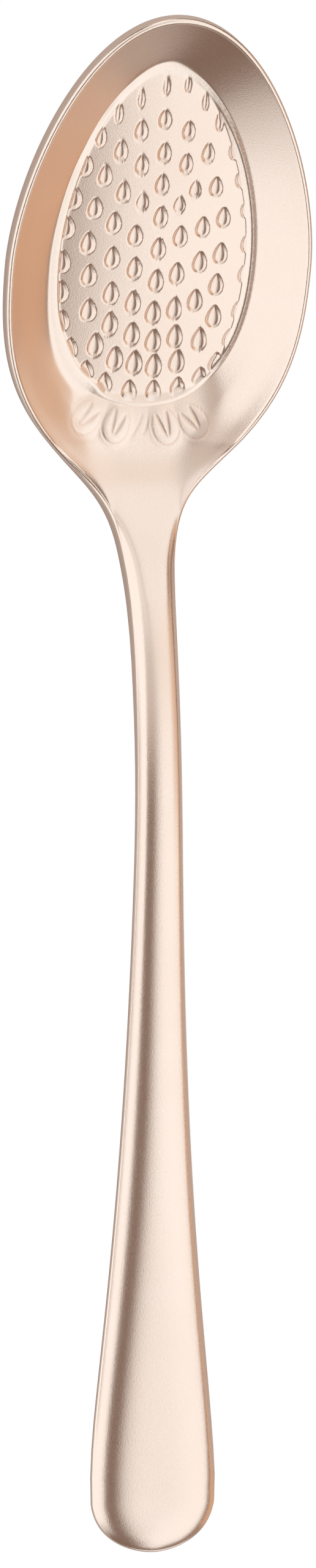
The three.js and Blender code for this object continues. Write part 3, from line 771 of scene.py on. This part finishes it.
coarse_ways = right_ways[::2]
taper = KNIT_INSET * np.clip(np.arange(len(coarse_ways)) / KNIT_STEPS, 0, 1)
coarse_plan = at_ways(under_inner, coarse_ways) - at_ways(outward, coarse_ways) * taper[:, None]
coarse_plan[-1, 0] = 0
under_rim = mirrored(coarse_plan)
section_under = across(under_rim[0], CELLS // 2)
under_edge = np.vstack([under_rim, section_under[1:-1]])
pad_rings = [strawberry_ring(inset, CELLS // 2) for inset, _ in PAD_STEPS]
rows = []
for share in np.linspace(0, 1, UNDER_RINGS + 1):
    plan = under_edge + share * (pad_rings[0] - under_edge)
    rows.append(solid_points(plan, bowl_under(*plan.T)))
for ring, (_, climb) in zip(pad_rings[1:], PAD_STEPS[1:]):
    start = bowl_under(*ring.T)
    rows.append(solid_points(ring, start + climb * (PAD_LEVEL - start)))
rows[0][[0, 3 * CELLS // 2]] = rim_edge[[0, -1], -1]
under_numbers = add_points(np.array(rows))
weave(under_numbers, closed=True)
knit(rim_numbers[:, -1], under_numbers[0, : 3 * CELLS // 2 + 1])
under_section = np.r_[under_numbers[0, 3 * CELLS // 2:], under_numbers[0, 0]]

pad_plan, pad_share = square_net(pad_rings[-1], FLOOR_CENTRE, CELLS // 2)
pad_floor = floor_level(pad_plan[..., 0], pad_plan[..., 1])
dents = pad_floor - press(pad_plan[..., 0], pad_plan[..., 1], pad_floor)
bumps = dents * (BUMP_HEIGHT / SEED_DEPTH) * smooth(1 - pad_share, *BUMP_FADE)
# Painted highlight on the bumps under the pad.
weave(add_points(solid_points(pad_plan, PAD_LEVEL - bumps), painted_highlight=bumps / BUMP_HEIGHT))
print("underside net", under_numbers.shape, "pad net", pad_plan.shape[:2])

# %% [markdown]
# ## Neck and handle
# The handle is a section carried along the outline: from the middle line out over the crown and the bevel,
# round the edge and back along the underside. A curve with a bevel object would keep one section from end
# to end, but this one changes all the way, so numpy works out every section. Behind the last root the
# sections fan out, so the end is round. The lines lie closer near the edge, where the corner rolls over.

# %% Handle
FRONT_CELLS, UNDER_CELLS = CELLS // 4, CELLS // 8
NECK_RUN, NECK_LINES, BAR_LINES, END_LINES = 14, 30, 33, 18
EDGE_CROWD, CROWD_BACKS = 0.5, (26, 50)
end_way = np.interp(REAR_ROOT, outline[:, 1], outline_way)
handle_ways = np.r_[
    np.linspace(corner_way, corner_way + NECK_RUN, NECK_LINES + 1)[1:],
    np.linspace(corner_way + NECK_RUN, end_way, BAR_LINES + 1)[1:],
    np.linspace(end_way, outline_way[-1], END_LINES + 1)[1:]]


def handle_lines(ways):
    """Sections at many ways along the right half, each from the middle line over the front, round the
    edge and under to the middle line again. The gap to the edge is that of the nearest point of it."""
    top, low = at_ways(inner, ways), at_ways(under_inner, ways)
    edge = edge_rows(ways)
    low_edge = at_ways(edge_low, ways)

    def ray(line, share):
        """Places at shares of the way from a root on the middle line to the line, and the root's back."""
        root = np.column_stack([np.zeros(len(line)), np.minimum(line[:, 1], REAR_ROOT)])
        return root[:, None] + share[..., None] * (line - root)[:, None], root[:, 1:]

    even = np.linspace(0, 1, FRONT_CELLS + 1)
    share = even + EDGE_CROWD * smooth(top[:, 1:], *CROWD_BACKS) * even * (1 - even)
    plan, root = ray(top, share)
    inside, nearest = inside_of(plan)
    gap = inside + inner_gap[nearest]
    front = solid_points(plan, front_height(inside, gap[:, :1], root, gap))
    share = np.linspace(1, 0, UNDER_CELLS + 1)[None]
    plan, root = ray(low, share)
    under = solid_points(plan, under_height(share, root, low_edge))
    return np.concatenate([front, edge[:, 1:-1], under], axis=1)


handle = mirrored(handle_lines(handle_ways))
# Painted highlight along the handle's edge.
line_highlight = np.r_[np.zeros(FRONT_CELLS), highlight_profile, np.zeros(UNDER_CELLS)]
handle_numbers = add_points(handle, painted_highlight=line_highlight)
weave(handle_numbers)
print("handle net", handle_numbers.shape)

# %% Join the handle to the bowl
first, last = handle_numbers[0], handle_numbers[-1]
knit(wall_section, np.r_[last[FRONT_CELLS:0:-1], first[: FRONT_CELLS + 1]])
edge_part = slice(FRONT_CELLS, FRONT_CELLS + EDGE_POINTS)
weave(np.array([rim_numbers[0], first[edge_part]]))
weave(np.array([rim_numbers[-1], last[edge_part]]))
corners = [(wall_numbers[-1, 0], rim_numbers[0, 0], first[FRONT_CELLS]),
           (wall_numbers[-1, 3 * CELLS], rim_numbers[-1, 0], last[FRONT_CELLS])]
nets["triangles"].append(np.array(corners))
under_part = FRONT_CELLS + EDGE_POINTS - 1
knit(under_section, np.r_[last[under_part:-1], first[: under_part - 1 : -1]])
print("bowl and handle joined across", len(wall_section) - 1, "steps")

# %% [markdown]
# ## One closed mesh
# The real spoon has no seam, and a net left by itself would show its border as a crease. So all nets go
# into one mesh in the frame. Points that coincide along seams are merged, and the faces are turned to look
# outwards. The masks travel along as attributes of the points.

# %% Spoon mesh
MERGE, NO_LENGTH = 2e-6, 1e-7
points = place(np.vstack(nets["points"]))
faces = np.vstack(nets["quads"]).tolist() + np.vstack(nets["triangles"]).tolist()
mesh = bpy.data.meshes.new("strawberry_spoon")
mesh.from_pydata(points.tolist(), [], faces)
for name in ("pressed", "painted_highlight", "flank_shade_mask"):
    values = np.concatenate(nets[name]).astype(np.float32)
    mesh.attributes.new(name, "FLOAT", "POINT").data.foreach_set("value", values)
work = bmesh.new()
work.from_mesh(mesh)
bmesh.ops.remove_doubles(work, verts=work.verts, dist=MERGE)
bmesh.ops.dissolve_degenerate(work, edges=work.edges, dist=NO_LENGTH)
bmesh.ops.recalc_face_normals(work, faces=work.faces)
open_edges = sum(1 for edge in work.edges if not edge.is_manifold)
work.to_mesh(mesh)
work.free()
mesh.polygons.foreach_set("use_smooth", np.ones(len(mesh.polygons), bool))
mesh.calc_loop_triangles()
spoon = bpy.data.objects.new("strawberry_spoon", mesh)
bpy.context.scene.collection.objects.link(spoon)
print(len(mesh.loop_triangles), "triangles,", open_edges, "open edges")

# %% [markdown]
# ## Satin rose gold
# The real finish is a thin copper-gold coat over steel, blasted to a fine satin. The grain is a noise of
# about a tenth of a millimetre that moves the roughness and a very shallow bump. Painted shade turns the
# dents, the crease and the engraved lines a deeper copper, a painted highlight makes edges, the bead's top
# and the leaves paler, and painted shade makes the bead's right flank patchy brown. A slow noise keeps the
# colour from being flat. A photographed texture would not fit the relief, so all of this is nodes and the
# mesh's own masks.

# %% Material
rose_gold = bpy.data.materials.new("satin_rose_gold")
rose_gold.use_nodes = True
tree = rose_gold.node_tree
shader = next(node for node in tree.nodes if node.type == "BSDF_PRINCIPLED")
shader.inputs["Metallic"].default_value = 1.0


def node(kind, label, **inputs):
    """A shader node with plain input values, by name."""
    made = tree.nodes.new(kind)
    made.label = label
    for name, value in inputs.items():
        made.inputs[name.replace("_", " ")].default_value = value
    return made


def noise(label, scale, detail, rough):
    """Noise on Object coordinates, in cells per metre."""
    made = node("ShaderNodeTexNoise", label, Scale=scale, Detail=detail, Roughness=rough)
    tree.links.new(where.outputs["Object"], made.inputs["Vector"])
    return made.outputs["Fac"]


def spread(label, value, low, high, to_low, to_high):
    """Map a value from one range to another."""
    made = tree.nodes.new("ShaderNodeMapRange")
    made.label = label
    for name, number in zip(("From Min", "From Max", "To Min", "To Max"), (low, high, to_low, to_high)):
        made.inputs[name].default_value = number
    tree.links.new(value, made.inputs["Value"])
    return made.outputs["Result"]


def blend(label, factor, first, second):
    """Mix of two colours, each a plain colour or a socket."""
    made = tree.nodes.new("ShaderNodeMix")
    made.label, made.data_type = label, "RGBA"
    tree.links.new(factor, made.inputs["Factor"])
    for name, colour in (("A", first), ("B", second)):
        socket = next(s for s in made.inputs if s.name == name and s.type == "RGBA")
        if isinstance(colour, tuple):
            socket.default_value = (*colour, 1)
        else:
            tree.links.new(colour, socket)
    return next(s for s in made.outputs if s.type == "RGBA")


def mask(name):
    """One of the mesh's own masks."""
    made = tree.nodes.new("ShaderNodeAttribute")
    made.attribute_name = name
    return made.outputs["Fac"]


where = tree.nodes.new("ShaderNodeTexCoord")
print("material", rose_gold.name)

# %% Colour, roughness and grain
GOLD, PALE_GOLD = (0.87, 0.72, 0.63), (0.89, 0.745, 0.655)
# The deep copper is the colour of painted shade, the paler gold that of a painted highlight, and the brown
# that of painted shade on the flank.
SHADED_COPPER, HIGHLIGHT_GOLD, FLANK_SHADE_BROWN = (0.7, 0.48, 0.37), (0.91, 0.79, 0.71), (0.42, 0.32, 0.27)
slow = spread("slow colour", noise("cloud", 90, 2, 0.5), 0.35, 0.65, 0, 1)
colour = blend("coat", slow, GOLD, PALE_GOLD)
# Painted shade: dents, the crease and engraved lines turn a deeper copper.
colour = blend("pressed", spread("in dents", mask("pressed"), 0, 1, 0, 0.6), colour, SHADED_COPPER)
# Painted highlight: raised edges, the bead's top and the leaves' puffs turn paler.
colour = blend("painted_highlight", spread("on edges", mask("painted_highlight"), 0, 1, 0, 0.5), colour, HIGHLIGHT_GOLD)
# Painted shade: the bead's right flank turns patchy brown.
shade_mottle = spread("patches of raw metal", noise("flecks", 3500, 3, 0.7), 0.35, 0.65, 0.6, 1.0)
mottled_flank_shade = node("ShaderNodeMath", "raw flank")
mottled_flank_shade.operation = "MULTIPLY"
tree.links.new(shade_mottle, mottled_flank_shade.inputs[0])
tree.links.new(mask("flank_shade_mask"), mottled_flank_shade.inputs[1])
colour = blend("right_flank_shade", mottled_flank_shade.outputs["Value"], colour, FLANK_SHADE_BROWN)
tree.links.new(colour, shader.inputs["Base Color"])

grain = noise("grain", 7000, 2, 0.6)
rough = spread("grain roughness", grain, 0.3, 0.7, 0.19, 0.26)
tree.links.new(rough, shader.inputs["Roughness"])
bump = node("ShaderNodeBump", "satin", Strength=0.35, Distance=0.00002)
tree.links.new(grain, bump.inputs["Height"])
tree.links.new(bump.outputs["Normal"], shader.inputs["Normal"])
mesh.materials.append(rose_gold)
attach(spoon, "root")
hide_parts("spoon")
print("finish has", len(tree.nodes), "nodes")

# %% [markdown]
# ## Table and light
# Rose gold shows nothing but its surroundings, so the light is laid out as a product photographer does.
# A wide soft box hangs over the right and a low one stands at the left. The dark gap between them, where
# the camera looks in, draws the stripe on the handle, and a fill closes it over the bowl. Warm cards low at
# the right turn the left wall to copper. A picture of a studio would light the spoon too, but with boxes
# each reflection can be put where it belongs. The table is white to the camera and pale in reflections.

# %% Table
TABLE_HALF, TABLE_DROP, TABLE_TONE = 3.0, 0.0002, (0.66, 0.6, 0.57, 1)


def white_to_camera(tree, to_spoon, to_camera):
    """Two shaders in one: a mix by Is Camera Ray, so that the spoon sees the first and the camera the
    second."""
    either, path = tree.nodes.new("ShaderNodeMixShader"), tree.nodes.new("ShaderNodeLightPath")
    output = next(n for n in tree.nodes if n.type in ("OUTPUT_MATERIAL", "OUTPUT_WORLD"))
    tree.links.new(path.outputs["Is Camera Ray"], either.inputs["Fac"])
    tree.links.new(to_spoon.outputs[0], either.inputs[1])
    tree.links.new(to_camera.outputs[0], either.inputs[2])
    tree.links.new(either.outputs["Shader"], output.inputs["Surface"])


table_mesh = bpy.data.meshes.new("table")
corners = np.array([(-1, -1, 0), (1, -1, 0), (1, 1, 0), (-1, 1, 0)]) * TABLE_HALF - (0, 0, TABLE_DROP)
table_mesh.from_pydata(corners.tolist(), [], [[0, 1, 2, 3]])
table = bpy.data.objects.new("table", table_mesh)
bpy.context.scene.collection.objects.link(table)
white = bpy.data.materials.new("white_table")
white.use_nodes = True
matte = next(n for n in white.node_tree.nodes if n.type == "BSDF_PRINCIPLED")
matte.inputs["Base Color"].default_value = TABLE_TONE
matte.inputs["Roughness"].default_value = 0.9
white_to_camera(white.node_tree, matte, white.node_tree.nodes.new("ShaderNodeEmission"))
table_mesh.materials.append(white)
print("table of", table.dimensions[:2])

# %% Soft boxes
LIGHT_DISTANCE = 0.55


def soft_box(name, start, stop, rear, front, radiance, tint=(1, 1, 1)):
    """Flat light that runs along the spoon. Seen from the spoon it spans two angles from straight up,
    plus to the right, and it lies between two places along Y. Watts are radiance x pi x area."""
    lamp = bpy.data.lights.new(name, "AREA")
    angle = np.radians((start + stop) / 2)
    lamp.shape, lamp.color = "RECTANGLE", tint
    lamp.size = 2 * LIGHT_DISTANCE * np.tan(np.radians(stop - start) / 2)
    lamp.size_y = front - rear
    lamp.energy = radiance * np.pi * lamp.size * lamp.size_y
    box = bpy.data.objects.new(name, lamp)
    ray = Vector((np.sin(angle), 0, np.cos(angle)))
    sideways = Vector((np.cos(angle), 0, -np.sin(angle)))
    turn = Matrix((sideways, Vector((0, 1, 0)), ray)).transposed().to_4x4()
    box.matrix_world = Matrix.Translation(ray * LIGHT_DISTANCE + Vector((0, (rear + front) / 2, 0))) @ turn
    box.visible_camera = False
    bpy.context.scene.collection.objects.link(box)
    return box


print("lights hang", LIGHT_DISTANCE, "m away")

# %% Boxes and cards
COOL, NEUTRAL = (0.87, 0.965, 1.0), (0.94, 0.965, 0.94)
WARM, AMBER, PALE_AMBER = (1.0, 0.6, 0.34), (1.0, 0.7, 0.48), (1.0, 0.84, 0.7)
boxes = [
    soft_box("right_box", 13, 62, -0.88, -0.06, 1.07, COOL),
    soft_box("end_card", 20, 55, -1.35, -0.88, 1.0, COOL),
    soft_box("right_box_middle", 13, 43, -0.06, 0.06, 1.05, COOL),
    soft_box("right_box_neck", 13, 43, 0.06, 0.22, 0.86, NEUTRAL),
    soft_box("right_box_front", 13, 46, 0.22, 0.75, 1.0, COOL),
    soft_box("right_fringe", 6, 13, -0.62, 0.75, 0.55, COOL),
    soft_box("left_box", -88, -22, -0.6, 0.6, 1.07, COOL),
    soft_box("left_fringe", -88, -22, -0.9, -0.6, 0.62, COOL),
    soft_box("front_fill", -22, 6, 0.19, 0.75, 0.85, COOL),
    soft_box("shoulder_fill", -22, 6, 0.0, 0.19, 0.5, NEUTRAL),
    soft_box("warm_card", 73, 96, -0.46, -0.07, 0.56, WARM),
    soft_box("warm_card_rear", 73, 96, -0.9, -0.46, 0.12, WARM),
    soft_box("amber_card", 58, 78, -0.1, 0.2, 0.55, AMBER),
    soft_box("pale_card", 43, 58, -0.06, 0.2, 0.62, PALE_AMBER),
]
TIP_CARD = Vector((0.0, 0.75, 0.28))
card = soft_box("tip_card", -30, 30, -0.15, 0.15, 0.9)
card.location, card.rotation_euler = TIP_CARD, TIP_CARD.to_track_quat("Z", "X").to_euler()
print(len(boxes), "soft boxes and a card beyond the tip")

# %% Dim studio
STUDIO_SHADE = (0.22, 0.15, 0.115, 1)
world = bpy.data.worlds.new("studio")
bpy.context.scene.world = world
world.use_nodes = True
dim = next(n for n in world.node_tree.nodes if n.type == "BACKGROUND")
dim.inputs["Color"].default_value = STUDIO_SHADE
bright = world.node_tree.nodes.new("ShaderNodeBackground")
bright.inputs["Color"].default_value = (1, 1, 1, 1)
white_to_camera(world.node_tree, dim, bright)
bpy.context.scene.view_settings.view_transform = "Standard"
print("studio shade", STUDIO_SHADE[:3])

# %% [markdown]
# ## Camera
# The picture looks almost straight down on the front, from a little to the spoon's left. An orthographic
# camera would see one direction only, and a satin metal needs the small change along its length. So a long
# lens far away keeps the tip and the end at nearly one scale, as on a product shot.

# %% Camera
VIEW_YAW, VIEW_PITCH, VIEW_ROLL = np.radians([17.807, -2.289, -0.636])
VIEW_DISTANCE, PIXELS_PER_MM, PICTURE_HEIGHT, SENSOR = 1.35, 16.4825, 2560, 36.0
AIM = Vector((-0.000224, 0.000442, 0.0067))

level_part = np.cos(VIEW_YAW)
toward = Vector((-np.sin(VIEW_YAW), -level_part * np.sin(VIEW_PITCH), level_part * np.cos(VIEW_PITCH)))
toward.normalize()
right = Vector((0, 1, 0)).cross(toward).normalized()
up = toward.cross(right)
turned_right = right * np.cos(VIEW_ROLL) + up * np.sin(VIEW_ROLL)
turned_up = up * np.cos(VIEW_ROLL) - right * np.sin(VIEW_ROLL)
lens = bpy.data.cameras.new("camera")
lens.sensor_fit, lens.sensor_width = "AUTO", SENSOR
lens.lens = SENSOR * VIEW_DISTANCE * PIXELS_PER_MM / (MM * PICTURE_HEIGHT)
lens.clip_start, lens.clip_end = 0.05, 20
camera = bpy.data.objects.new("camera", lens)
camera.matrix_world = Matrix.Translation(AIM + toward * VIEW_DISTANCE) @ Matrix(
    (turned_right, turned_up, toward)).transposed().to_4x4()
bpy.context.scene.collection.objects.link(camera)
bpy.context.scene.camera = camera
print("lens", round(lens.lens, 1), "mm")
